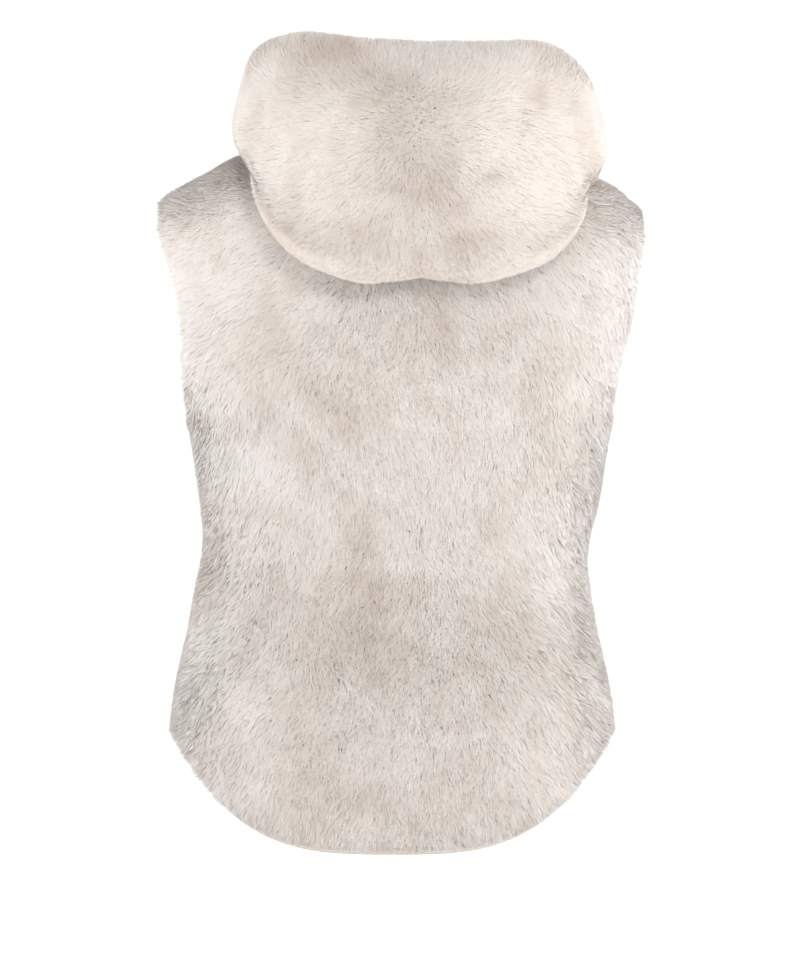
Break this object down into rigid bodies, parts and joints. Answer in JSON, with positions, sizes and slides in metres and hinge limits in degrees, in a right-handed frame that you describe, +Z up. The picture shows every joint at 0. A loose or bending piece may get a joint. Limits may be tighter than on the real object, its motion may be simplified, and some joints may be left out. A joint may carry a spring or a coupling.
{
  "type": "faux fur vest",
  "caption": "Sleeveless hooded faux fur vest, open at the front, filled out as if worn, with its hood lying down behind the neck.",
  "frame": {"origin": "on the centre plane, at the height of the inside of the shoulders beside the neck, where the vest rests on its wearer", "axes": "+Z up, -Y towards the wearer's front where the vest opens, +X towards the wearer's left"},
  "size_m": [0.4331, 0.3523, 0.7074],
  "materials": {
    "back_fur": "cream faux fur, matte",
    "front_left_fur": "cream faux fur, matte",
    "front_right_fur": "cream faux fur, matte",
    "hood_left_fur": "cream faux fur, matte",
    "hood_right_fur": "cream faux fur, matte"
  },
  "bodies": {
    "root": {"back": "back_fur", "front_left": "front_left_fur", "front_right": "front_right_fur", "hood_left": "hood_left_fur", "hood_right": "hood_right_fur"}
  },
  "joints": []
}
